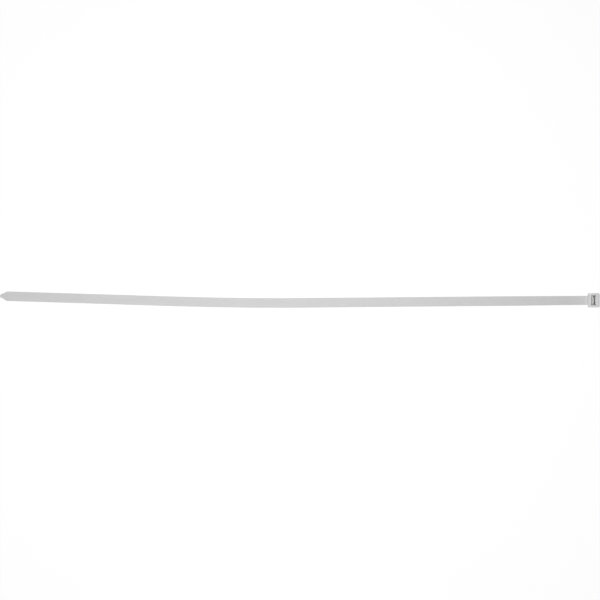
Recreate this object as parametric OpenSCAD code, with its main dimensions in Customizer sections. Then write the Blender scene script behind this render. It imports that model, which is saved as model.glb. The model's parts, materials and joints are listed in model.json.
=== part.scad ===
// One-piece cable tie, moulded in natural nylon: a toothed strap with a self-locking head.
// It lies toothed face down on Z = 0. The origin is the middle of the slot on the face
// that the tail enters, the tail leaves the slot along +Z, and the strap runs to -X.
// All sizes are in millimetres and all angles in degrees. The tie is one moulding. It is drawn
// as three nodes, the head, the strap and the tail, which meet face to face in two planes: one
// through the neck, and one through a tooth in the middle of the bend.

/* [Strap] */
// Length of the whole tie along its centre line, from the tip to the end of the head
overall_l = 500; // [400:5:700]
// Width of the strap
strap_w = 7.8; // [7:0.1:9]
// Thickness of the strap over its teeth
strap_t = 1.7; // [1.4:0.05:2.2]
// Rounding along the edges of the strap
edge_r = 0.4; // [0.2:0.05:0.6]
// Length of the narrow neck beside the head
neck_l = 17; // [8:0.5:40]
// Length over which the neck widens to the full strap
neck_taper_l = 40; // [10:1:80]
// How far each side of the neck is drawn in
neck_relief = 0.15; // [0.05:0.05:0.5]

/* [Set of the strap] */
// Distance from the slot to the start of the gentle sideways bend
bend_start = 240; // [80:1:260]
// Radius of the bend at the centre line
bend_r = 2740; // [1500:10:6000]
// Angle through which the strap turns in the bend
bend_angle = 2.27; // [0.5:0.01:4]

/* [Rack] */
// Width of the toothed band between the two smooth rails
rack_w = 5; // [3.5:0.1:5.6]
// Distance from one tooth to the next
tooth_pitch = 1.5; // [1.3:0.05:2]
// Depth of the gaps between the teeth
tooth_h = 0.55; // [0.4:0.05:0.6]
// Flat on the crest of each tooth
crest_flat = 0.25; // [0.15:0.05:0.4]
// Flat at the bottom of each gap
root_flat = 0.2; // [0.1:0.05:0.3]
// How far the locking face of a tooth leans over its depth
face_lean = 0.06; // [0:0.01:0.15]
// Plain length between the head and the first tooth
rack_lead = 15; // [5:0.5:40]

/* [Tail] */
// Plain length between the tip and the last tooth
tail_l = 23; // [20:0.5:60]
// Radius of the rounded tip
tip_r = 0.95; // [0.5:0.05:1.5]
// Angle between each flank of the arrow tip and the centre line
tip_flank = 28.5; // [15:0.5:45]
// Thickness left at the tip by the ramp under it
tip_t = 0.9; // [0.5:0.05:1.2]
// Length of the ramp under the tip
tip_ramp_l = 8; // [4:0.5:12]
// Distance between the finger grooves under the tail
grip_pitch = 2; // [1.5:0.1:3]
// Width of a finger groove
grip_gap = 1.2; // [0.6:0.1:1.3]
// Depth of a finger groove
grip_depth = 0.35; // [0.1:0.05:0.6]

/* [Head] */
// Height of the head from the entry face to the exit face
head_h = 6.8; // [6:0.1:9]
// Thickness of the head beside the slot, on each side
side_wall = 1.75; // [1.2:0.05:3]
// Thickness of the wall between the strap and the pocket of the pawl
hinge_wall = 2.8; // [2:0.05:4]
// Thickness of the wall that the back of the strap runs against
end_wall = 3.55; // [2:0.05:5]
// Rounding of the edge between the exit face and the side that the strap comes from
brow_r = 1.8; // [0.5:0.1:2.5]
// Rounding round the rest of the exit face
exit_r = 0.9; // [0.4:0.05:1.1]
// Rounding of the upright corners
corner_r = 1; // [0.4:0.05:1.1]
// Rounding round the entry face
entry_r = 0.4; // [0.2:0.05:0.6]
// Radius of the hollow fillet between the strap and the head
shoulder_r = 2; // [0.5:0.1:2.5]
// Plain strap between that fillet and the plane where head and strap meet
stub_l = 0.5; // [0.25:0.05:3]

/* [Slot] */
// Clearance on each side of the strap in the slot
slot_side_clear = 0.15; // [0.1:0.05:0.4]
// Clearance over the thickness of the strap in the slot
slot_face_clear = 0.3; // [0.1:0.05:0.6]
// Size of the sloping lead-in round the mouth of the slot
mouth_flare = 0.5; // [0.2:0.05:0.8]
// Width of the relief at each end of the slot, beside the pad that the back of the strap runs on
relief_w = 0.9; // [0.5:0.1:1.5]
// Depth of those reliefs in the end wall
relief_d = 0.45; // [0.2:0.05:0.8]

/* [Pawl] */
// Thickness of the pawl behind its teeth
pawl_core = 0.9; // [0.7:0.05:1.2]
// Thickness of the pawl where it bends, at its foot
pawl_hinge_t = 0.6; // [0.4:0.05:0.65]
// Gap behind the pawl, into which the passing teeth push it
pawl_gap = 0.55; // [0.5:0.05:1]
// Gap on each side of the pawl
pawl_side_gap = 0.35; // [0.2:0.05:0.6]
// Height of the foot of the pawl above the entry face
pawl_foot = 1.3; // [1:0.05:1.8]
// How far the tip of the pawl lies below the exit face
pawl_drop = 0.2; // [0.1:0.05:0.6]
// Flat above the top tooth of the pawl
pawl_land = 0.2; // [0.1:0.05:0.4]
// Bevel at the back of the tip of the pawl
pawl_bevel = 0.2; // [0.1:0.05:0.4]
// Clearance between the teeth of the pawl and those of the rack
mesh_clear = 0.06; // [0.02:0.01:0.12]

/* [Hidden] */
$fn = 48;
// Overlap that lets a cut run clear of a face
cut = 0.5;
// Short overlap of pieces that join
bite = 0.02;
// Flats along each rounded edge of the strap
edge_steps = 4;
// Flats round a whole circle of the bend
bend_fn = 2400;
// Colour of the natural nylon
nylon = [0.81, 0.81, 0.8];

// The slot, across the strap and through its thickness
slot_w = strap_w + 2 * slot_side_clear;
slot_t = strap_t + slot_face_clear;
slot_end_x = slot_t / 2;
// The back of an inserted strap runs against the end wall, so its crests lie here
crest_x = slot_end_x - strap_t;

// The pawl, whose teeth reach the bottom of the gaps of an inserted strap
pawl_back_x = crest_x - pawl_core;
pawl_w = slot_w - 2 * pawl_side_gap;
pawl_tooth_w = rack_w - 2 * pawl_side_gap;
pawl_tip_z = head_h - pawl_drop;
pawl_step = crest_x + slot_end_x;
pawl_root_z = pawl_foot + pawl_step;
pawl_teeth = floor((pawl_tip_z - pawl_land - pawl_root_z) / tooth_pitch);
pocket_x = pawl_back_x - pawl_gap;

// The head, built outwards from the slot and the pocket of the pawl
head_w = slot_w + 2 * side_wall;
head_strap_x = pocket_x - hinge_wall;
head_end_x = slot_end_x + end_wall;
// The strap enters the head as far as the middle of the hinge wall, and its node ends at split_x
root_x = head_strap_x + hinge_wall / 2;
split_x = head_strap_x - shoulder_r - stub_l;

// Places along the centre line, as distances from the slot
tip_s = overall_l - head_end_x;
bend_l = bend_r * bend_angle * PI / 180;
bend_end = bend_start + bend_l;
rack_start = rack_lead - head_strap_x;
rack_end = tip_s - tail_l;
rack_teeth = floor((rack_end - rack_start) / tooth_pitch);
// The tail takes over from the strap in the middle of a crest, halfway round the bend
strap_teeth = floor((bend_start + bend_l / 2 - rack_start) / tooth_pitch);
tail_s = rack_start + strap_teeth * tooth_pitch + crest_flat / 2;

// The arrow tip, from its rounded end to where its flanks meet the sides of the strap
arrow_tan = tan(tip_flank);
arrow_start = [tip_r * (1 - sin(tip_flank)), tip_r * cos(tip_flank)];
arrow_l = arrow_start[0] + (strap_w / 2 - arrow_start[1]) / arrow_tan;
grip_start = max(arrow_l, tip_ramp_l) + grip_pitch;
grip_grooves = floor((tail_l - grip_start) / grip_pitch);

// The points of a quarter circle of radius r round [x, y], from angle a
function quarter(x, y, r, a) = [
    for (i = [0 : edge_steps]) let (t = a + 90 * i / edge_steps) [x + r * cos(t), y + r * sin(t)]
];

// Where the centre line is, s along it from the slot
function turned(s) = min(max(s - bend_start, 0), bend_l) * 180 / (PI * bend_r);
function bend_x(s) = min(s, bend_start) + bend_r * sin(turned(s));
function bend_y(s) = bend_r * (1 - cos(turned(s)));

// One gap of the rack, or a tooth that fits it when c is a clearance. It runs from the locking
// face at x = 0 to the far end of the ramp, and is as deep as the teeth are high.
function tooth_gap(c) = [
    [c, 0],
    [c + face_lean, tooth_h - c],
    [face_lean + root_flat - c, tooth_h - c],
    [tooth_pitch - crest_flat - c, 0]
];

// Puts its children on the centre line, s from the slot, where the tip lies towards -X
module along(s) {
    past_bend = max(s - bend_end, 0);
    translate([-bend_x(s), bend_y(s), 0])
        rotate([0, 0, -turned(s)])
            translate([-past_bend, 0, 0]) children();
}

// Extrudes an outline drawn in X and Z over a width w centred on the middle plane
module across(w) {
    rotate([90, 0, 0]) linear_extrude(w, center = true) children();
}

// A rectangle from lo to hi with rounded corners. Their radii r are given in turn, starting at
// lo and going round by the other end of the lower side.
module soft_rect(lo, hi, r) {
    centres = [
        [lo[0] + r[0], lo[1] + r[0]],
        [hi[0] - r[1], lo[1] + r[1]],
        [hi[0] - r[2], hi[1] - r[2]],
        [lo[0] + r[3], hi[1] - r[3]]
    ];
    difference() {
        translate(lo) square(hi - lo);
        for (i = [0 : 3]) translate(centres[i]) rotate(90 * i) difference() {
            translate([-r[i] - cut, -r[i] - cut]) square(r[i] + cut);
            circle(r[i]);
        }
    }
}

// The section of the strap, with its toothed face on the X axis
module strap_section() {
    y = strap_w / 2 - edge_r;
    z = strap_t - edge_r;
    polygon(concat(
        quarter(y, z, edge_r, 0),
        quarter(-y, z, edge_r, 90),
        quarter(-y, edge_r, edge_r, 180),
        quarter(y, edge_r, edge_r, 270)
    ));
}

// A straight stretch of plain strap that runs l towards the head
module straight(l) {
    rotate([90, 0, 90]) linear_extrude(l) strap_section();
}

// The outline of the arrow tip seen from above, pointing to -X, wider than the strap behind it
module arrow() {
    wide = arrow_start[1] + arrow_tan * (arrow_l + cut - arrow_start[0]);
    translate([tip_r, 0]) circle(tip_r);
    polygon([
        [arrow_start[0], -arrow_start[1]],
        [arrow_l + cut, -wide],
        [tip_s, -wide],
        [tip_s, wide],
        [arrow_l + cut, wide],
        [arrow_start[0], arrow_start[1]]
    ]);
}

// The cut that ramps the underside of the tip
module tip_ramp() {
    rise = (strap_t - tip_t) / tip_ramp_l;
    across(strap_w + 2 * cut)
        polygon([[-cut, -cut], [tip_ramp_l + cut, -cut], [tip_ramp_l + cut, -cut * rise],
            [-cut, strap_t - tip_t + cut * rise]]);
}

// The stretch of the bend between two angles, both measured from its start
module bent(from, to) {
    translate([-bend_start, bend_r, 0])
        rotate_extrude(angle = to - from, start = -90 - to, $fn = bend_fn)
            translate([bend_r, 0]) strap_section();
}

// The plain end of the tail, from the bend to the arrow tip with the ramp under it
module tail_end() {
    along(tip_s) difference() {
        intersection() {
            straight(tip_s - bend_end + bite);
            linear_extrude(strap_t) arrow();
        }
        tip_ramp();
    }
}

// The wedges that draw in both sides of the neck and leave the strap where the taper ends
module neck_cut() {
    side = strap_w / 2;
    start = head_strap_x - neck_l;
    past = start - 2 * neck_taper_l;
    for (flip = [0, 1]) mirror([0, flip, 0])
        translate([0, 0, -cut]) linear_extrude(strap_t + 2 * cut)
            polygon([
                [root_x + cut, side - neck_relief],
                [root_x + cut, side + 2 * cut],
                [past, side + 2 * cut],
                [past, side + neck_relief],
                [start, side - neck_relief]
            ]);
}

// One gap of the rack, cut upwards from the toothed face
module rack_gap() {
    gap = tooth_gap(0);
    across(rack_w) polygon(concat([[0, -cut]], gap, [[gap[3][0], -cut]]));
}

// One finger groove under the tail
module grip_groove() {
    translate([0, -rack_w / 2, -cut]) cube([grip_gap, rack_w, grip_depth + cut]);
}

// The gaps of the rack from number first to number last
module rack(first, last) {
    for (i = [first : last]) along(rack_start + i * tooth_pitch) rack_gap();
}

// The strap from the neck to the middle of the bend, with its part of the rack
module strap() {
    color(nylon) difference() {
        union() {
            along(bend_start) straight(bend_start + split_x);
            bent(0, turned(tail_s));
        }
        neck_cut();
        rack(1, strap_teeth);
    }
}

// The tail from the middle of the bend to the tip, with the rest of the rack and its finger grooves
module tail() {
    color(nylon) difference() {
        union() {
            bent(turned(tail_s), bend_angle);
            tail_end();
        }
        rack(strap_teeth + 1, rack_teeth);
        for (i = [0 : grip_grooves - 1]) along(tip_s - grip_start - i * grip_pitch) grip_groove();
    }
}

// The end of the strap that belongs to the head, up to the middle of the hinge wall
module neck_stub() {
    difference() {
        translate([split_x, 0, 0]) straight(root_x - split_x);
        neck_cut();
    }
}

// The solid block of the head, rounded in all three views, with its fillet to the strap
module head_block() {
    half_w = head_w / 2;
    intersection() {
        across(head_w + 2 * cut)
            soft_rect([head_strap_x, 0], [head_end_x, head_h], [entry_r, entry_r, exit_r, brow_r]);
        rotate([90, 0, 90]) translate([0, 0, head_strap_x - cut])
            linear_extrude(head_end_x - head_strap_x + 2 * cut)
                soft_rect([-half_w, 0], [half_w, head_h], [entry_r, entry_r, exit_r, exit_r]);
        translate([0, 0, -cut]) linear_extrude(head_h + 2 * cut)
            soft_rect([head_strap_x, -half_w], [head_end_x, half_w], [for (i = [0 : 3]) corner_r]);
    }
    across(strap_w - 2 * neck_relief - 2 * edge_r) difference() {
        translate([head_strap_x - shoulder_r, strap_t - bite]) square(shoulder_r + bite);
        translate([head_strap_x - shoulder_r, strap_t + shoulder_r]) circle(shoulder_r);
    }
}

// The way through the head for the strap, with its lead-in, the reliefs at both ends of the slot
// and the pocket behind the pawl, whose bottom is half round
module channel() {
    through = head_h + 2 * cut;
    pocket_z = pawl_foot + pawl_gap / 2;
    centre_x = pocket_x + pawl_gap / 2;
    translate([-slot_end_x, -slot_w / 2, -cut]) cube([slot_t, slot_w, through]);
    for (flip = [0, 1]) mirror([0, flip, 0])
        translate([0, slot_w / 2 - relief_w, -cut]) cube([slot_end_x + relief_d, relief_w, through]);
    translate([pocket_x, -slot_w / 2, pocket_z]) cube([-pocket_x, slot_w, through]);
    translate([centre_x, 0, pocket_z])
        rotate([90, 0, 0]) cylinder(h = slot_w, r = pawl_gap / 2, center = true);
    mouth();
}

// The sloping lead-in: its four sides lean outwards to the entry face
module mouth() {
    x = slot_end_x;
    y = slot_w / 2;
    far = mouth_flare + cut;
    intersection() {
        across(slot_w + 4 * far)
            polygon([[-x - far, -cut], [x + far, -cut], [x, mouth_flare], [-x, mouth_flare]]);
        rotate([90, 0, 90]) linear_extrude(slot_t + 4 * far, center = true)
            polygon([[-y - far, -cut], [y + far, -cut], [y, mouth_flare], [-y, mouth_flare]]);
    }
}

// The outline of the pawl without its teeth: a thin foot, a sloping step and a stiff core
module pawl_outline() {
    polygon([
        [pawl_back_x, pawl_foot - bite],
        [pawl_back_x + pawl_hinge_t, pawl_foot - bite],
        [crest_x, pawl_root_z],
        [crest_x, pawl_tip_z],
        [pawl_back_x + pawl_bevel, pawl_tip_z],
        [pawl_back_x, pawl_tip_z - pawl_bevel]
    ]);
}

// The pawl, with teeth that fit the gaps of the rack and lock with their upper faces
module pawl() {
    across(pawl_w) pawl_outline();
    for (i = [0 : pawl_teeth - 1])
        translate([crest_x, 0, pawl_tip_z - pawl_land - i * tooth_pitch])
            rotate([0, 90, 0]) across(pawl_tooth_w)
                polygon(concat([[mesh_clear, -bite]], tooth_gap(mesh_clear),
                    [[tooth_pitch - crest_flat - mesh_clear, -bite]]));
}

// The head, with the stub of the strap, the slot and the pawl
module head() {
    color(nylon) {
        difference() {
            union() {
                neck_stub();
                head_block();
            }
            channel();
        }
        pawl();
    }
}

head();
strap();
tail();
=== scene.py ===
"""A one-piece nylon cable tie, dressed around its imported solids.

The tie lies toothed face down on a white table and is seen from straight above. The strap,
the head and the pawl are one moulding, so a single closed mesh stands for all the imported
solids. The classes hold their sizes in millimetres and their angles in degrees, as a maker
gives them. The moulding is built in millimetres too, and brought to metres as its last step.
"""

from __future__ import annotations

import json
import logging
import math
from collections.abc import Callable, Iterable, Sequence
from dataclasses import dataclass, field
from enum import Enum

import bmesh
import bpy
from mathutils import Matrix, Vector

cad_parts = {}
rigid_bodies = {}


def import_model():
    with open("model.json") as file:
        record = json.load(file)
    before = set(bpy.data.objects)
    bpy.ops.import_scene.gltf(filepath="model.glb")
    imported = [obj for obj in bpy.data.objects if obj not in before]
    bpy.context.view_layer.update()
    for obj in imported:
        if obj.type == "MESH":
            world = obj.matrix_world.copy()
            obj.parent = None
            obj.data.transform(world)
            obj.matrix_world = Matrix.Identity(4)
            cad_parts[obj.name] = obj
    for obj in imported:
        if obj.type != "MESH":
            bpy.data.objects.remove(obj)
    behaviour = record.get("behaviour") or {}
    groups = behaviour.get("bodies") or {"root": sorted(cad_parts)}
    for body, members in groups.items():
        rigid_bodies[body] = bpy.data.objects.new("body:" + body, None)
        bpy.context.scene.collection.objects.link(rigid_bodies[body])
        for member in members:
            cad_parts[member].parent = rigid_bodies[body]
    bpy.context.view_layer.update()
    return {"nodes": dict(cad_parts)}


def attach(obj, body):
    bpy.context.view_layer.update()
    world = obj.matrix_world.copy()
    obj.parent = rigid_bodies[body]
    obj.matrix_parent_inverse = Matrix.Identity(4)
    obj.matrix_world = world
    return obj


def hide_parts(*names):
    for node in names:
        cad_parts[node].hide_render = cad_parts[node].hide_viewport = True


LOG = logging.getLogger("cable_tie")
MM = 0.001
SAME_HEIGHT = 0.001
NOISE_MEAN = 0.5
WHITE = (1.0, 1.0, 1.0, 1.0)

Point = tuple[float, float]
Level = tuple[float, float, float, float]


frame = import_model()


class Cut(Enum):
    """How one solid acts on another."""

    ADD = "UNION"
    TAKE = "DIFFERENCE"
    KEEP = "INTERSECT"


class Wire:
    """An output socket that takes part in Python expressions, which add Math nodes."""

    def __init__(self, graph: Graph, socket: bpy.types.NodeSocket) -> None:
        """Holds the socket and the graph that new nodes go into."""
        self.graph = graph
        self.socket = socket

    def _math(self, operation: str, *others: float | Wire) -> Wire:
        """Adds a Math node whose first value is this wire.

        Args:
            operation: The operation of the node.
            others: Its other values.

        Returns:
            The result.
        """
        values = dict(enumerate((self, *others)))
        return self.graph.node("ShaderNodeMath", {"operation": operation}, values)

    def __add__(self, other: float | Wire) -> Wire:
        """The sum."""
        return self._math("ADD", other)

    __radd__ = __add__

    def __mul__(self, other: float | Wire) -> Wire:
        """The product."""
        return self._math("MULTIPLY", other)

    __rmul__ = __mul__

    def __sub__(self, other: float | Wire) -> Wire:
        """The difference."""
        return self._math("SUBTRACT", other)

    def __rsub__(self, other: float) -> Wire:
        """A number less this."""
        return self.graph.node("ShaderNodeMath", {"operation": "SUBTRACT"}, {0: other, 1: self})

    def __truediv__(self, other: float | Wire) -> Wire:
        """The quotient."""
        return self._math("DIVIDE", other)

    def __rtruediv__(self, other: float) -> Wire:
        """A number divided by this."""
        return self.graph.node("ShaderNodeMath", {"operation": "DIVIDE"}, {0: other, 1: self})

    def least(self, other: float | Wire) -> Wire:
        """The smaller of the two."""
        return self._math("MINIMUM", other)

    def most(self, other: float | Wire) -> Wire:
        """The larger of the two."""
        return self._math("MAXIMUM", other)

    def sine(self) -> Wire:
        """The sine of this angle in radians."""
        return self._math("SINE")

    def cosine(self) -> Wire:
        """The cosine of this angle in radians."""
        return self._math("COSINE")


class Graph:
    """A node tree, filled by one method."""

    def __init__(self, tree: bpy.types.NodeTree) -> None:
        """Starts from an empty tree."""
        self.tree = tree
        tree.nodes.clear()

    def node(
        self,
        kind: str,
        settings: dict[str, object] | None = None,
        values: dict[str | int, object] | None = None,
        out: str | int = 0,
    ) -> Wire:
        """Adds a node.

        Args:
            kind: The node's type.
            settings: What is set on the node itself, before its sockets.
            values: A value or a wire for each input socket, by name or number.
            out: The output that is wanted, by name or number.

        Returns:
            That output.
        """
        made = self.tree.nodes.new(kind)
        for name, value in (settings or {}).items():
            setattr(made, name, value)
        for name, value in (values or {}).items():
            if isinstance(value, Wire):
                self.tree.links.new(value.socket, made.inputs[name])
            else:
                made.inputs[name].default_value = value
        return Wire(self, made.outputs[out] if made.outputs else None)


@dataclass(frozen=True)
class CentreLine:
    """The middle of the strap, seen from above: straight, one gentle bend, straight again.

    It starts at the slot and runs to -X, and distances along it are called s.
    """

    bend_start: float = 240.0
    bend_radius: float = 2740.0
    bend_angle: float = 2.27

    @property
    def bend_length(self) -> float:
        """The length of the bend along the centre line."""
        return self.bend_radius * math.radians(self.bend_angle)

    def place(self, s: float, across: float, up: float) -> Vector:
        """A point beside the centre line.

        Args:
            s: How far along the line from the slot.
            across: How far to its side, towards +Y where the line is straight.
            up: How far above the table.

        Returns:
            The point.
        """
        into = max(s - self.bend_start, 0.0)
        turned = min(into, self.bend_length) / self.bend_radius
        past = max(into - self.bend_length, 0.0)
        x = min(s, self.bend_start) + self.bend_radius * math.sin(turned) + past * math.cos(turned)
        y = self.bend_radius * (1.0 - math.cos(turned)) + past * math.sin(turned)
        return Vector((-x + across * math.sin(turned), y + across * math.cos(turned), up))


class Solid:
    """A closed mesh in the making, in millimetres."""

    ROUND_PROFILE = 0.5

    def __init__(self, name: str, mesh: bpy.types.Mesh) -> None:
        """Puts the mesh into the scene as an object of that name."""
        self.object = bpy.data.objects.new(name, mesh)
        bpy.context.scene.collection.objects.link(self.object)

    @classmethod
    def lofted(cls, name: str, rings: Sequence[Sequence[Vector]]) -> Solid:
        """A solid whose skin joins rings that all have the same number of points.

        Args:
            name: The name of the object.
            rings: The rings in order, each without a repeated last point.

        Returns:
            The solid, closed by a flat face at each end.
        """
        shape = bmesh.new()
        loops = [[shape.verts.new(point) for point in ring] for ring in rings]
        for first, second in zip(loops, loops[1:]):
            for i in range(len(first)):
                j = (i + 1) % len(first)
                shape.faces.new((first[i], first[j], second[j], second[i]))
        shape.faces.new(reversed(loops[0]))
        shape.faces.new(loops[-1])
        return cls._finished(name, shape)

    @classmethod
    def across(cls, name: str, outline: Sequence[Point], width: float) -> Solid:
        """A prism: an outline in X and Z, extruded over a width centred on the middle plane."""
        rings = [[Vector((x, side * width / 2, z)) for x, z in outline] for side in (-1, 1)]
        return cls.lofted(name, rings)

    @classmethod
    def _finished(cls, name: str, shape: bmesh.types.BMesh) -> Solid:
        """Turns the faces outwards and makes the mesh.

        Args:
            name: The name of the object and its mesh.
            shape: The faces, which are freed.

        Returns:
            The solid.
        """
        bmesh.ops.recalc_face_normals(shape, faces=shape.faces[:])
        mesh = bpy.data.meshes.new(name)
        shape.to_mesh(mesh)
        shape.free()
        return cls(name, mesh)

    def round_edges(self, offset: float, steps: int, chosen: Callable[[Vector, Vector], bool]) -> None:
        """Rounds edges.

        Args:
            offset: The radius.
            steps: The flats along it.
            chosen: Says from an edge's two ends whether it is rounded.
        """
        mesh = self.object.data
        shape = bmesh.new()
        shape.from_mesh(mesh)
        bmesh.ops.bevel(
            shape,
            geom=[edge for edge in shape.edges if chosen(edge.verts[0].co, edge.verts[1].co)],
            offset=offset,
            segments=steps,
            profile=self.ROUND_PROFILE,
            affect="EDGES",
        )
        bmesh.ops.recalc_face_normals(shape, faces=shape.faces[:])
        shape.to_mesh(mesh)
        shape.free()

    def combine(self, other: Solid, cut: Cut) -> None:
        """Lets another solid act on this one, as the last of its modifiers.

        Args:
            other: The other solid, which has to stay until this one is baked.
            cut: Whether it is added, taken away, or keeps what lies inside it.
        """
        step = self.object.modifiers.new(other.object.name, "BOOLEAN")
        step.operation = cut.value
        step.solver = "MANIFOLD"
        step.object = other.object

    def baked(self, name: str) -> bpy.types.Object:
        """Makes what the modifiers leave of this solid a plain object in metres.

        Args:
            name: The name of the object and its mesh.

        Returns:
            The object.
        """
        graph = bpy.context.evaluated_depsgraph_get()
        mesh = bpy.data.meshes.new_from_object(self.object.evaluated_get(graph))
        mesh.name = name
        mesh.transform(Matrix.Scale(MM, 4))
        made = bpy.data.objects.new(name, mesh)
        bpy.context.scene.collection.objects.link(made)
        return made

    def discard(self) -> None:
        """Takes the solid out of the file, once nothing needs it."""
        mesh = self.object.data
        bpy.data.objects.remove(self.object)
        bpy.data.meshes.remove(mesh)


def arc(centre: Point, radius: float, start: float, end: float, steps: int) -> list[Point]:
    """Points along an arc, both ends among them.

    Args:
        centre: Its centre.
        radius: Its radius.
        start: The angle of the first point, in degrees.
        end: The angle of the last.
        steps: How many flats it has.

    Returns:
        The points.
    """
    turns = [math.radians(start + (end - start) * i / steps) for i in range(steps + 1)]
    return [(centre[0] + radius * math.cos(t), centre[1] + radius * math.sin(t)) for t in turns]


class RepeatedCut:
    """A geometry node tree that cuts one tool out of the strap again and again along it."""

    NUMBERS = ("First", "Pitch", "Bend start", "Bend radius", "Bend angle")

    def __init__(self) -> None:
        """Builds the tree once. Each use of it is a modifier with its own values."""
        self.tree = bpy.data.node_groups.new("repeated_cut", "GeometryNodeTree")
        self.ids: dict[str, str] = {}
        self._add_socket("Geometry", "NodeSocketGeometry")
        self._add_socket("Tool", "NodeSocketObject")
        self._add_socket("Count", "NodeSocketInt")
        for name in self.NUMBERS:
            self._add_socket(name, "NodeSocketFloat")
        self._add_socket("Material", "NodeSocketMaterial")
        self.tree.interface.new_socket("Geometry", in_out="OUTPUT", socket_type="NodeSocketGeometry")
        self._build()

    def _add_socket(self, name: str, kind: str) -> None:
        """Adds a named input to the tree and keeps its identifier."""
        socket = self.tree.interface.new_socket(name, in_out="INPUT", socket_type=kind)
        self.ids[name] = socket.identifier

    def _build(self) -> None:
        """Fills the tree: places on the centre line, a tool at each, the cut, the material."""
        graph = Graph(self.tree)
        given = {name: graph.node("NodeGroupInput", out=name) for name in self.ids}
        start, radius = given["Bend start"], given["Bend radius"]
        along = given["First"] + given["Pitch"] * graph.node("GeometryNodeInputIndex")
        bend_length = given["Bend angle"] * radius
        into = (along - start).most(0.0)
        turned = into.least(bend_length) / radius
        past = (into - bend_length).most(0.0)
        x = (along.least(start) + radius * turned.sine() + past * turned.cosine()) * -1.0
        y = radius * (1.0 - turned.cosine()) + past * turned.sine()
        place = graph.node("ShaderNodeCombineXYZ", values={"X": x, "Y": y})
        facing = graph.node("ShaderNodeCombineXYZ", values={"Z": turned * -1.0})
        rotation = graph.node("FunctionNodeEulerToRotation", values={0: facing})
        places = graph.node("GeometryNodePoints", values={"Count": given["Count"], "Position": place})
        tool = graph.node("GeometryNodeObjectInfo", values={"Object": given["Tool"]}, out="Geometry")
        copies = graph.node(
            "GeometryNodeInstanceOnPoints",
            values={"Points": places, "Instance": tool, "Rotation": rotation},
        )
        left = graph.node(
            "GeometryNodeMeshBoolean",
            {"operation": Cut.TAKE.value, "solver": "MANIFOLD"},
            {"Mesh 1": given["Geometry"], "Mesh 2": copies},
        )
        plain = graph.node("GeometryNodeRealizeInstances", values={"Geometry": left})
        coated = graph.node(
            "GeometryNodeSetMaterial", values={"Geometry": plain, "Material": given["Material"]}
        )
        graph.node("NodeGroupOutput", values={"Geometry": coated})

    def apply(self, solid: Solid, values: dict[str, object]) -> None:
        """Adds the tree to a solid as a modifier.

        Args:
            solid: The solid that is cut.
            values: A value for each named input.
        """
        step = solid.object.modifiers.new("repeated_cut", "NODES")
        step.node_group = self.tree
        for name, value in values.items():
            step[self.ids[name]] = value


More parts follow.
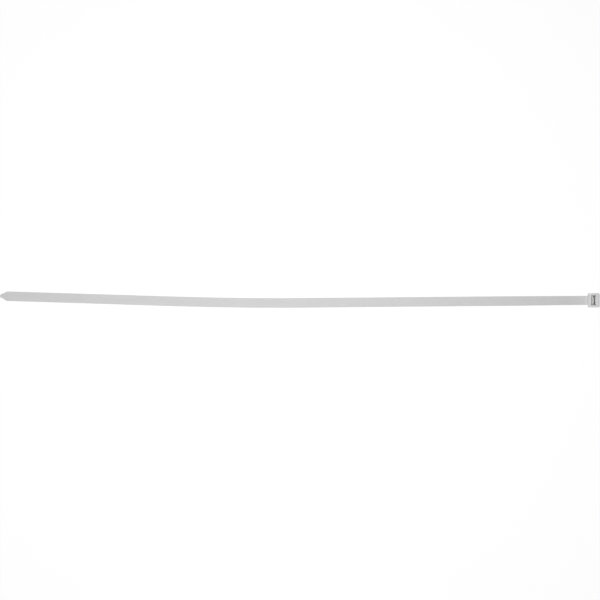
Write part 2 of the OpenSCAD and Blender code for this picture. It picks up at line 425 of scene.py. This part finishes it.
@dataclass
class Strap:
    """The strap: a rounded band with a drawn-in neck and a blunt arrow tip.

    The rounding of its edges takes no more than half_width_share of the half width and
    thickness_share of the thickness, so that it still fits at the tip.
    """

    line: CentreLine
    length: float = 500.0
    width: float = 7.8
    thickness: float = 1.7
    edge_radius: float = 0.4
    neck_length: float = 17.0
    neck_taper: float = 40.0
    neck_relief: float = 0.15
    half_width_share: float = 0.9
    thickness_share: float = 0.4
    tip_radius: float = 0.95
    tip_flank: float = 28.5
    tip_thickness: float = 0.9
    tip_ramp: float = 8.0
    bend_steps: int = 16
    edge_steps: int = 6
    tip_steps: int = 7

    def tip_place(self, head: Head) -> float:
        """How far the tip lies from the slot along the centre line."""
        return self.length - head.end_x

    def nose_length(self) -> float:
        """The length of the round nose at the tip, up to where the flanks begin."""
        return self.tip_radius * (1.0 - math.sin(math.radians(self.tip_flank)))

    def arrow_length(self) -> float:
        """The length of the arrow, from the tip to where the strap has its full width.

        Returns:
            The length.
        """
        flank = math.radians(self.tip_flank)
        rise = self.width / 2 - self.tip_radius * math.cos(flank)
        return self.nose_length() + rise / math.tan(flank)

    def half_width(self, s: float, head: Head) -> float:
        """Half the width of the strap, with its neck and its arrow tip.

        Args:
            s: How far along the centre line.
            head: The head that the strap grows from.

        Returns:
            The half width.
        """
        begin = -head.strap_x + self.neck_length
        share = min(max((s - begin) / self.neck_taper, 0.0), 1.0)
        half = self.width / 2 - self.neck_relief * (1.0 - share)
        flank = math.radians(self.tip_flank)
        u = self.tip_place(head) - s
        if u < self.nose_length():
            return math.sqrt(max(self.tip_radius**2 - (self.tip_radius - u) ** 2, 0.0))
        reach = self.tip_radius * math.cos(flank) + math.tan(flank) * (u - self.nose_length())
        return min(half, reach)

    def underside(self, s: float, head: Head) -> float:
        """The height of the underside at s, which rises under the tip."""
        u = self.tip_place(head) - s
        return (self.thickness - self.tip_thickness) * max(1.0 - u / self.tip_ramp, 0.0)

    def stations(self, head: Head) -> list[float]:
        """Where the strap has a ring of points, from inside the hinge wall to the tip.

        Args:
            head: The head that the strap grows from.

        Returns:
            The distances along the centre line.
        """
        tip = self.tip_place(head)
        neck = -head.strap_x + self.neck_length
        bend = [
            self.line.bend_start + self.line.bend_length * i / self.bend_steps
            for i in range(self.bend_steps + 1)
        ]
        round_turn = 90.0 - self.tip_flank
        nose = [
            self.tip_radius * (1.0 - math.cos(math.radians(round_turn * i / self.tip_steps)))
            for i in range(self.tip_steps, 0, -1)
        ]
        tail = [self.tip_ramp, self.arrow_length(), *nose]
        inside = -(head.strap_x + head.pocket_x) / 2
        return [inside, neck, neck + self.neck_taper, *bend, *(tip - u for u in tail)]

    def ring(self, s: float, head: Head) -> list[Vector]:
        """The rounded section of the strap, whose edges get sharper towards the tip.

        Args:
            s: How far along the centre line.
            head: The head that the strap grows from.

        Returns:
            The points round it.
        """
        half, low = self.half_width(s, head), self.underside(s, head)
        room = (half * self.half_width_share, (self.thickness - low) * self.thickness_share)
        radius = min(self.edge_radius, *room)
        y, z_high, z_low = half - radius, self.thickness - radius, low + radius
        outline = [
            *arc((y, z_high), radius, 0, 90, self.edge_steps),
            *arc((-y, z_high), radius, 90, 180, self.edge_steps),
            *arc((-y, z_low), radius, 180, 270, self.edge_steps),
            *arc((y, z_low), radius, 270, 360, self.edge_steps),
        ]
        return [self.line.place(s, across, up) for across, up in outline]

    def build(self, head: Head) -> Solid:
        """The plain strap, before its teeth are cut."""
        rings = [self.ring(s, head) for s in self.stations(head)]
        return Solid.lofted("strap_blank", rings)


@dataclass
class Rack:
    """The band of teeth under the strap, and the finger grooves under its tail.

    soft_start is the share of a crest's softening at which the ramp of a gap ends, and
    groove_shoulder is the share of a groove's depth that its round shoulders take. The
    cutting tools reach out of the strap as far as below says.
    """

    line: CentreLine
    width: float = 5.0
    pitch: float = 1.5
    depth: float = 0.55
    crest: float = 0.25
    root: float = 0.2
    lean: float = 0.06
    soft_crest: float = 0.04
    soft_start: float = 0.6
    soft_root: float = 0.07
    root_steps: int = 4
    ramp_steps: int = 3
    lead: float = 15.0
    tail: float = 23.0
    groove_pitch: float = 2.0
    groove_gap: float = 1.2
    groove_depth: float = 0.35
    groove_shoulder: float = 0.5
    groove_steps: int = 4
    below: float = 0.3

    def gap_outline(self) -> list[Point]:
        """One gap between two teeth: soft at the crests and at the root, steep at x = 0.

        Returns:
            Its outline in X and Z, which reaches below the table side of the strap.
        """
        soft, bend = self.soft_crest, self.soft_root
        run = self.pitch - self.crest
        ramp = math.degrees(math.atan2(self.depth, run - self.lean - self.root))
        top = self.depth - bend
        far = self.lean + self.root - bend * math.tan(math.radians(ramp / 2))
        return [
            (-soft, -self.below),
            (-soft, 0.0),
            (self.lean * soft / self.depth, soft),
            *arc((self.lean + bend, top), bend, 180, 90, self.root_steps),
            *arc((far, top), bend, 90, 90 - ramp, self.ramp_steps),
            (run - soft / math.tan(math.radians(ramp)) * self.soft_start, soft * self.soft_start),
            (run + soft, 0.0),
            (run + soft, -self.below),
        ]

    def groove_outline(self) -> list[Point]:
        """One finger groove, flat-bottomed with round shoulders.

        Returns:
            Its outline in X and Z, which reaches below the table side of the strap.
        """
        bend = self.groove_depth * self.groove_shoulder
        top = self.groove_depth - bend
        return [
            (0.0, -self.below),
            *arc((bend, top), bend, 180, 90, self.groove_steps),
            *arc((self.groove_gap - bend, top), bend, 90, 0, self.groove_steps),
            (self.groove_gap, -self.below),
        ]

    def cut(self, blank: Solid, strap: Strap, head: Head, finish: bpy.types.Material) -> list[Solid]:
        """Cuts the teeth and the grooves into the strap.

        Args:
            blank: The plain strap.
            strap: Its sizes.
            head: The sizes of the head, from which the rack is placed.
            finish: The material of the moulding.

        Returns:
            The cutting tools, which go once the moulding is baked.
        """
        tree = RepeatedCut()
        tip = strap.tip_place(head)
        first = self.lead - head.strap_x + self.pitch
        teeth = math.floor((tip - self.tail - first) / self.pitch) + 1
        groove_first = max(strap.arrow_length(), strap.tip_ramp) + self.groove_pitch
        grooves = math.floor((self.tail - groove_first) / self.groove_pitch)
        gap = Solid.across("rack_gap", self.gap_outline(), self.width)
        groove = Solid.across("finger_groove", self.groove_outline(), self.width)
        shared = {
            "Bend start": self.line.bend_start,
            "Bend radius": self.line.bend_radius,
            "Bend angle": math.radians(self.line.bend_angle),
            "Material": finish,
        }
        for tool, count, begin, pitch in (
            (gap, teeth, first, self.pitch),
            (groove, grooves, tip - groove_first, -self.groove_pitch),
        ):
            values = {"Tool": tool.object, "Count": count, "First": begin, "Pitch": pitch}
            tree.apply(blank, values | shared)
        LOG.info("rack: %d gaps of %.2f mm, %d finger grooves", teeth, self.pitch, grooves)
        return [gap, groove]


@dataclass
class Pawl:
    """The sprung tongue in the slot, moulded on at its foot, with teeth that fit the rack.

    It begins at the height of foot and ends at drop below the exit face, with a plain land
    above its top tooth. Each tooth keeps the clearance to the gap that it seats in.
    """

    core: float = 0.9
    hinge: float = 0.6
    gap: float = 0.55
    side_gap: float = 0.35
    foot: float = 1.3
    drop: float = 0.2
    land: float = 0.2
    bevel: float = 0.2
    clearance: float = 0.06
    soft: float = 0.07

    def slope_top(self, head: Head) -> float:
        """How high the 45 degree slope at the foot ends, which leads an inserted tip to the teeth."""
        return self.foot + head.crest_x + head.slot_end_x

    def outline(self, head: Head) -> list[Point]:
        """The pawl without its teeth, from the side.

        Args:
            head: The head that it stands in.

        Returns:
            Its outline in X and Z.
        """
        back, tip = head.crest_x - self.core, head.height - self.drop
        sunk = self.foot - self.clearance
        return [
            (back, sunk),
            (back + self.hinge, sunk),
            (head.crest_x, self.slope_top(head)),
            (head.crest_x, tip - self.soft),
            (head.crest_x - self.soft, tip),
            (back + self.bevel, tip),
            (back, tip - self.bevel),
        ]

    def tooth_outline(self, rack: Rack) -> list[Point]:
        """One tooth pointing to +X, with its locking face up, as high as z = 0.

        Args:
            rack: The rack whose gaps it fits, with the clearance all round.

        Returns:
            Its outline in X and Z.
        """
        loose, soft = self.clearance, rack.soft_crest
        reach = rack.depth - loose
        run = rack.pitch - rack.crest - loose
        flat = rack.lean + rack.root - loose
        return [
            (-loose, -loose),
            (reach - soft, -loose - rack.lean),
            (reach, -loose - rack.lean - soft),
            (reach, -flat),
            (0.0, -run),
            (-loose, -run),
        ]

    def build(self, head: Head, rack: Rack) -> list[Solid]:
        """The body of the pawl and its teeth, as separate solids that overlap.

        Args:
            head: The head that it stands in.
            rack: The rack that its teeth fit.

        Returns:
            The body, then the teeth from the top one down.
        """
        width = head.slot_width - 2 * self.side_gap
        parts = [Solid.across("pawl_body", self.outline(head), width)]
        top = head.height - self.drop - self.land
        count = math.floor((top - self.slope_top(head)) / rack.pitch)
        for i in range(count):
            outline = [(head.crest_x + x, top - i * rack.pitch + z) for x, z in self.tooth_outline(rack)]
            parts.append(Solid.across(f"pawl_tooth_{i}", outline, rack.width - 2 * self.side_gap))
        LOG.info("pawl: %d teeth", count)
        return parts


@dataclass
class Head:
    """The head: a rounded box with a slot through it and a hollow fillet to the strap.

    rim is the size of a broken edge, and run_out is how far a cutting tool reaches past the
    face that it comes out of.
    """

    strap_width: float
    strap_thickness: float
    pawl: Pawl = field(default_factory=Pawl)
    height: float = 6.8
    side_wall: float = 1.75
    hinge_wall: float = 2.8
    end_wall: float = 3.55
    brow_radius: float = 1.8
    brow_steps: int = 14
    exit_radius: float = 0.9
    exit_steps: int = 7
    corner_radius: float = 1.0
    corner_steps: int = 8
    entry_radius: float = 0.4
    entry_steps: int = 5
    shoulder: float = 2.0
    shoulder_steps: int = 8
    side_clearance: float = 0.15
    face_clearance: float = 0.3
    mouth_flare: float = 0.5
    relief_width: float = 0.9
    relief_depth: float = 0.45
    groove_steps: int = 10
    rim: float = 0.1
    run_out: float = 0.4

    @property
    def slot_width(self) -> float:
        """The slot across the strap."""
        return self.strap_width + 2 * self.side_clearance

    @property
    def slot_end_x(self) -> float:
        """Where the end wall faces the slot. The slot is centred on x = 0."""
        return (self.strap_thickness + self.face_clearance) / 2

    @property
    def crest_x(self) -> float:
        """Where the crests of an inserted strap lie, whose back runs on the end wall."""
        return self.slot_end_x - self.strap_thickness

    @property
    def pocket_x(self) -> float:
        """The back wall of the pocket behind the pawl."""
        return self.crest_x - self.pawl.core - self.pawl.gap

    @property
    def strap_x(self) -> float:
        """The side of the head that the strap comes from."""
        return self.pocket_x - self.hinge_wall

    @property
    def end_x(self) -> float:
        """The closed end of the head."""
        return self.slot_end_x + self.end_wall

    def block(self) -> Solid:
        """The outside of the head, with its upright corners and both of its faces rounded.

        Returns:
            The solid.
        """
        half = self.slot_width / 2 + self.side_wall
        ground = [(self.strap_x, -half), (self.end_x, -half), (self.end_x, half), (self.strap_x, half)]
        rings = [[Vector((x, y, z)) for x, y in ground] for z in (0.0, self.height)]
        solid = Solid.lofted("head_block", rings)
        for radius, steps, chosen in (
            (self.corner_radius, self.corner_steps, lambda a, b: abs(a.z - b.z) > SAME_HEIGHT),
            (self.exit_radius, self.exit_steps, lambda a, b: min(a.z, b.z) > self.height - SAME_HEIGHT),
            (self.entry_radius, self.entry_steps, lambda a, b: max(a.z, b.z) < SAME_HEIGHT),
        ):
            solid.round_edges(radius, steps, chosen)
        return solid

    def brow(self) -> Solid:
        """All that lies under the wide rounding between the exit face and the strap's side.

        Returns:
            A solid wider than the head, of which the head keeps what lies inside it.
        """
        out, radius = self.run_out, self.brow_radius
        outline = [
            (self.end_x + out, -out),
            (self.end_x + out, self.height),
            *arc((self.strap_x + radius, self.height - radius), radius, 90, 180, self.brow_steps),
            (self.strap_x, -out),
        ]
        return Solid.across("brow", outline, 2 * (self.slot_width + self.side_wall))

    def fillet(self, strap: Strap) -> Solid:
        """The hollow fillet between the upper face of the strap and the head.

        Args:
            strap: The strap that it lies on.

        Returns:
            The solid, which is sunk into both.
        """
        top, radius = strap.thickness, self.shoulder
        centre = (self.strap_x - radius, top + radius)
        outline = [
            (self.strap_x - radius, top - self.rim),
            *arc(centre, radius, 270, 360, self.shoulder_steps),
            (self.strap_x + self.run_out, top + radius),
            (self.strap_x + self.run_out, top - self.rim),
        ]
        width = strap.width - 2 * strap.neck_relief - 2 * strap.edge_radius
        return Solid.across("shoulder_fillet", outline, width)

    @staticmethod
    def _loft_boxes(name: str, levels: Iterable[Level]) -> Solid:
        """A solid through rectangles that lie one above the other.

        Args:
            name: The name of the object.
            levels: The rectangles, each as (lowest x, highest x, half width, z).

        Returns:
            The solid.
        """
        rings = [
            [Vector((lo, -half, z)), Vector((hi, -half, z)), Vector((hi, half, z)), Vector((lo, half, z))]
            for lo, hi, half, z in levels
        ]
        return Solid.lofted(name, rings)

    @staticmethod
    def _flared(lo: float, hi: float, half: float, out: float, z: float) -> Level:
        """A level of a shaft that is wider by out than its walls."""
        return lo - out, hi + out, half + out, z

    def passage(self) -> Solid:
        """The way through for the strap: a sloping mouth, straight walls and a broken edge.

        Returns:
            The solid that is taken out of the head.
        """
        walls = (-self.slot_end_x, self.slot_end_x, self.slot_width / 2)
        levels = [
            self._flared(*walls, self.mouth_flare + self.run_out, -self.run_out),
            self._flared(*walls, 0.0, self.mouth_flare),
            *self._exit_levels(walls),
        ]
        return self._loft_boxes("passage", levels)

    def _exit_levels(self, walls: tuple[float, float, float]) -> list[Level]:
        """The two levels at the exit face between which the edge of a shaft is broken.

        Args:
            walls: The lowest x, the highest x and the half width of the shaft.

        Returns:
            The levels.
        """
        return [
            self._flared(*walls, 0.0, self.height - self.rim),
            self._flared(*walls, self.rim + self.run_out, self.height + self.run_out),
        ]

    def reliefs(self) -> list[Solid]:
        """The reliefs at both ends of the slot, beside the pad that the back of the strap runs on.

        Returns:
            The solids that are taken out of the head.
        """
        walls = (0.0, self.slot_end_x + self.relief_depth, self.relief_width / 2)
        levels = [self._flared(*walls, 0.0, -self.run_out), *self._exit_levels(walls)]
        made = []
        for side, name in ((-1, "relief_near"), (1, "relief_far")):
            solid = self._loft_boxes(name, levels)
            place = side * (self.slot_width - self.relief_width) / 2
            solid.object.data.transform(Matrix.Translation((0.0, place, 0.0)))
            made.append(solid)
        return made

    def pocket(self) -> Solid:
        """The room in which the pawl stands, with a round-bottomed groove behind it.

        Returns:
            The solid that is taken out of the head.
        """
        half_gap = self.pawl.gap / 2
        floor, top = self.pawl.foot + half_gap, self.height + self.run_out
        outline = [
            (self.pocket_x, top),
            *arc((self.pocket_x + half_gap, floor), half_gap, 180, 360, self.groove_steps),
            (0.0, floor),
            (0.0, top),
        ]
        return Solid.across("pawl_pocket", outline, self.slot_width)

    def pocket_rim(self) -> Solid:
        """The broken edge of the pocket in the exit face."""
        walls = (self.pocket_x, self.slot_end_x, self.slot_width / 2)
        return self._loft_boxes("pocket_rim", self._exit_levels(walls))


@dataclass(frozen=True)
class NylonFinish:
    """Natural nylon as it leaves the mould: pale, satin and slightly translucent.

    The colour is painted lighter by painted_head_light between the places head_light_start and
    head_light_full on
    the X axis, in the neck and in the head: painted light. Its clouds, flow lines and grain are
    sized in waves per metre.
    """

    name: str = "natural_nylon"
    colour: tuple[float, float, float] = (0.7, 0.7, 0.7)
    colour_spread: float = 0.05
    # Painted light: the neck and head are made lighter between head_light_start and head_light_full.
    painted_head_light: float = 0.16
    head_light_start: float = -7.5 * MM
    head_light_full: float = -3.5 * MM
    roughness: float = 0.56
    roughness_spread: float = 0.12
    refraction: float = 1.53
    glow: float = 0.5
    glow_reach: float = 2.0 * MM
    cloud: float = 22.0
    cloud_detail: float = 3.0
    flow_across: float = 900.0
    flow_along: float = 60.0
    flow_detail: float = 2.0
    grain: float = 5200.0
    grain_height: float = 0.004 * MM
    flow_height: float = 0.02 * MM

    def material(self) -> bpy.types.Material:
        """The material: soft clouds in its colour, flow lines along the strap, fine grain.

        The head and neck are painted lighter than the strap: painted light that stands in for the light
        that the nylon sends back where it is deep and that the head's brow and shoulder catch.

        Returns:
            The material.
        """
        made = bpy.data.materials.new(self.name)
        made.use_nodes = True
        graph = Graph(made.node_tree)
        place = graph.node("ShaderNodeTexCoord", out="Object")
        clouds = graph.node(
            "ShaderNodeTexNoise",
            values={"Vector": place, "Scale": self.cloud, "Detail": self.cloud_detail},
        )
        stretched = graph.node(
            "ShaderNodeMapping",
            {"vector_type": "POINT"},
            {"Vector": place, "Scale": (self.flow_along, self.flow_across, self.flow_across)},
        )
        flow = graph.node(
            "ShaderNodeTexNoise",
            values={"Vector": stretched, "Scale": 1.0, "Detail": self.flow_detail},
        )
        grain = graph.node("ShaderNodeTexNoise", values={"Vector": place, "Scale": self.grain})
        along = graph.node("ShaderNodeSeparateXYZ", values={"Vector": place}, out="X")
        # Mask of the painted light: 0 along the strap, rising to 1 in the neck and head.
        painted_light_mask = graph.node(
            "ShaderNodeMapRange",
            {"interpolation_type": "SMOOTHSTEP"},
            {"Value": along, "From Min": self.head_light_start, "From Max": self.head_light_full},
        )
        # The clouds are random tone; painted_head_light adds painted light to the neck and head.
        tone_and_painted_light = 1.0 + (clouds - NOISE_MEAN) * self.colour_spread + painted_light_mask * self.painted_head_light
        tint = graph.node("ShaderNodeVectorMath", {"operation": "SCALE"}, {0: self.colour, "Scale": tone_and_painted_light})
        rough = (flow + clouds - 2 * NOISE_MEAN) * self.roughness_spread + self.roughness
        height = grain * self.grain_height + flow * self.flow_height
        bump = graph.node("ShaderNodeBump", values={"Height": height, "Distance": 1.0})
        surface = graph.node(
            "ShaderNodeBsdfPrincipled",
            values={
                "Base Color": tint,
                "Roughness": rough,
                "Normal": bump,
                "IOR": self.refraction,
                "Subsurface Weight": self.glow,
                "Subsurface Radius": (1.0, 1.0, 1.0),
                "Subsurface Scale": self.glow_reach,
            },
        )
        graph.node("ShaderNodeOutputMaterial", values={"Surface": surface})
        return made


@dataclass(frozen=True)
class TableFinish:
    """A white table that stays white in the picture but keeps a faint shadow.

    seen_diffuse and seen_glow are what shows of it, and bounce is what it sends to the tie.
    """

    name: str = "white_table"
    glows: bool = True
    seen_diffuse: float = 0.22
    seen_glow: float = 0.84
    bounce: float = 0.8

    def material(self) -> bpy.types.Material:
        """The material: mostly its own light where it is seen, and plain white for the rest.

        Returns:
            The material.
        """
        made = bpy.data.materials.new(self.name)
        made.use_nodes = True
        graph = Graph(made.node_tree)
        surface = graph.node("ShaderNodeBsdfDiffuse", values={"Color": (*[self.bounce] * 3, 1.0)})
        if self.glows:
            grey = (*[self.seen_diffuse] * 3, 1.0)
            seen = graph.node("ShaderNodeBsdfDiffuse", values={"Color": grey})
            glow = graph.node("ShaderNodeEmission", values={"Color": WHITE, "Strength": self.seen_glow})
            shown = graph.node("ShaderNodeAddShader", values={0: seen, 1: glow})
            surface = graph.node(
                "ShaderNodeMixShader", values={"Fac": background_ray(graph), 1: surface, 2: shown}
            )
        graph.node("ShaderNodeOutputMaterial", values={"Surface": surface})
        return made


def background_ray(graph: Graph) -> Wire:
    """Tells a ray that shows the background: from the camera, a reflection or through glass.

    Args:
        graph: The node tree that asks.

    Returns:
        One for such a ray and zero for any other.
    """
    names = ("Is Camera Ray", "Is Glossy Ray", "Is Transmission Ray")
    camera, glossy, through = (graph.node("ShaderNodeLightPath", out=name) for name in names)
    return camera.most(glossy).most(through)


@dataclass
class CableTie:
    """The whole tie: strap, rack, head and pawl in one closed mesh."""

    finish: NylonFinish = field(default_factory=NylonFinish)
    line: CentreLine = field(default_factory=CentreLine)
    shading_angle: float = 32.0
    strap: Strap = field(init=False)
    rack: Rack = field(init=False)
    head: Head = field(init=False)

    def __post_init__(self) -> None:
        """Sizes the parts, each from those that it has to fit."""
        self.strap, self.rack = Strap(self.line), Rack(self.line)
        self.head = Head(self.strap.width, self.strap.thickness)

    def build(self) -> bpy.types.Object:
        """Builds the moulding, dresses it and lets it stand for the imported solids.

        Returns:
            The finished object.
        """
        strap, rack, head = self.strap, self.rack, self.head
        material = self.finish.material()
        blank = strap.build(head)
        blank.object.data.materials.append(material)
        tools = rack.cut(blank, strap, head, material)
        block, brow = head.block(), head.brow()
        block.combine(brow, Cut.KEEP)
        steps = [
            (block, Cut.ADD),
            (head.fillet(strap), Cut.ADD),
            (head.passage(), Cut.TAKE),
            *((relief, Cut.TAKE) for relief in head.reliefs()),
            (head.pocket(), Cut.TAKE),
            (head.pocket_rim(), Cut.TAKE),
            *((part, Cut.ADD) for part in head.pawl.build(head, rack)),
        ]
        for solid, cut in steps:
            blank.combine(solid, cut)
        made = blank.baked("cable_tie_moulding")
        for solid in (blank, brow, *tools, *(solid for solid, _ in steps)):
            solid.discard()
        self._smooth(made, material)
        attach(made, "root")
        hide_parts(*frame["nodes"])
        return made

    def _smooth(self, made: bpy.types.Object, material: bpy.types.Material) -> None:
        """Gives the mesh its one material, smooth roundings and crisp edges.

        Args:
            made: The object.
            material: The material of the moulding.
        """
        mesh = made.data
        mesh.materials.clear()
        mesh.materials.append(material)
        mesh.polygons.foreach_set("material_index", [0] * len(mesh.polygons))
        mesh.shade_smooth()
        mesh.set_sharp_from_angle(angle=math.radians(self.shading_angle))


@dataclass
class Studio:
    """The white table, the soft light and the camera above.

    lamp_power is in watts, fill is the strength of the light from all round, and sight is how
    far the camera sees.
    """

    head: Head
    view_width: float = 500.2
    aim: Point = (-244.85, 2.4)
    aim_height: float = 1.7
    roll: float = -0.5
    lens: float = 250.0
    sensor: float = 36.0
    sight: float = 20000.0
    table_size: float = 6000.0
    table_drop: float = 0.05
    shade_margin: float = 0.3
    fill: float = 0.16
    lamp_place: tuple[float, float, float] = (-278.0, 0.0, 720.0)
    lamp_size: float = 420.0
    lamp_power: float = 3.95

    def build(self) -> list[bpy.types.Object]:
        """Builds the table, the lamp, the light from all round and the camera.

        Returns:
            The objects.
        """
        self._world()
        return [self._table(), self._lamp(), self._camera()]

    @staticmethod
    def _linked(name: str, data: bpy.types.ID) -> bpy.types.Object:
        """Makes an object and links it into the scene.

        Args:
            name: Its name.
            data: Its mesh, light or camera.

        Returns:
            The object.
        """
        made = bpy.data.objects.new(name, data)
        bpy.context.scene.collection.objects.link(made)
        return made

    def _table(self) -> bpy.types.Object:
        """A wide flat table just under the tie, without its own light where the head covers it.

        Returns:
            The object.
        """
        half, low = self.table_size / 2 * MM, -self.table_drop * MM
        mesh = bpy.data.meshes.new("table")
        head = self.head
        rim = head.entry_radius + self.shade_margin
        side = head.slot_width / 2 + head.side_wall - rim
        x_low, x_high = (head.strap_x + rim) * MM, (head.end_x - rim) * MM
        spots = [(-half, -half, low), (half, -half, low), (half, half, low), (-half, half, low)]
        y, z = side * MM, low / 2
        spots += [(x_low, -y, z), (x_high, -y, z), (x_high, y, z), (x_low, y, z)]
        mesh.from_pydata(spots, [], [(0, 1, 2, 3), (4, 5, 6, 7)])
        for finish in (TableFinish(), TableFinish("table_under_head", glows=False)):
            mesh.materials.append(finish.material())
        mesh.polygons[1].material_index = 1
        table = self._linked("table", mesh)
        return table

    def _lamp(self) -> bpy.types.Object:
        """One large square lamp above the middle of the strap.

        Returns:
            The object.
        """
        light = bpy.data.lights.new("softbox", "AREA")
        light.size = self.lamp_size * MM
        light.energy = self.lamp_power
        lamp = self._linked("softbox", light)
        lamp.location = Vector(self.lamp_place) * MM
        return lamp

    def _world(self) -> None:
        """Even light from all round, which shows as white."""
        world = bpy.data.worlds.new("studio")
        world.use_nodes = True
        graph = Graph(world.node_tree)
        shown = background_ray(graph)
        strength = shown * (1.0 - self.fill) + self.fill
        light = graph.node("ShaderNodeBackground", values={"Color": WHITE, "Strength": strength})
        graph.node("ShaderNodeOutputWorld", values={"Surface": light})
        bpy.context.scene.world = world

    def _camera(self) -> bpy.types.Object:
        """A long lens straight above, which takes in the tie from end to end.

        Returns:
            The object.
        """
        data = bpy.data.cameras.new("camera")
        data.lens = self.lens
        data.sensor_width = self.sensor
        data.clip_end = self.sight * MM
        distance = self.view_width * self.lens / self.sensor + self.aim_height
        camera = self._linked("camera", data)
        camera.location = Vector((*self.aim, distance)) * MM
        camera.rotation_euler = (0.0, 0.0, math.radians(self.roll))
        bpy.context.scene.camera = camera
        bpy.context.scene.view_settings.view_transform = "Standard"
        return camera


def main() -> None:
    """Builds the studio and the tie, and reports each piece."""
    logging.basicConfig(level=logging.INFO, format="%(message)s")
    tie = CableTie()
    for piece in Studio(tie.head).build():
        LOG.info("studio: %s", piece.name)
    made = tie.build()
    LOG.info("tie: %s, %d faces", made.name, len(made.data.polygons))


if __name__ == "__main__":
    main()
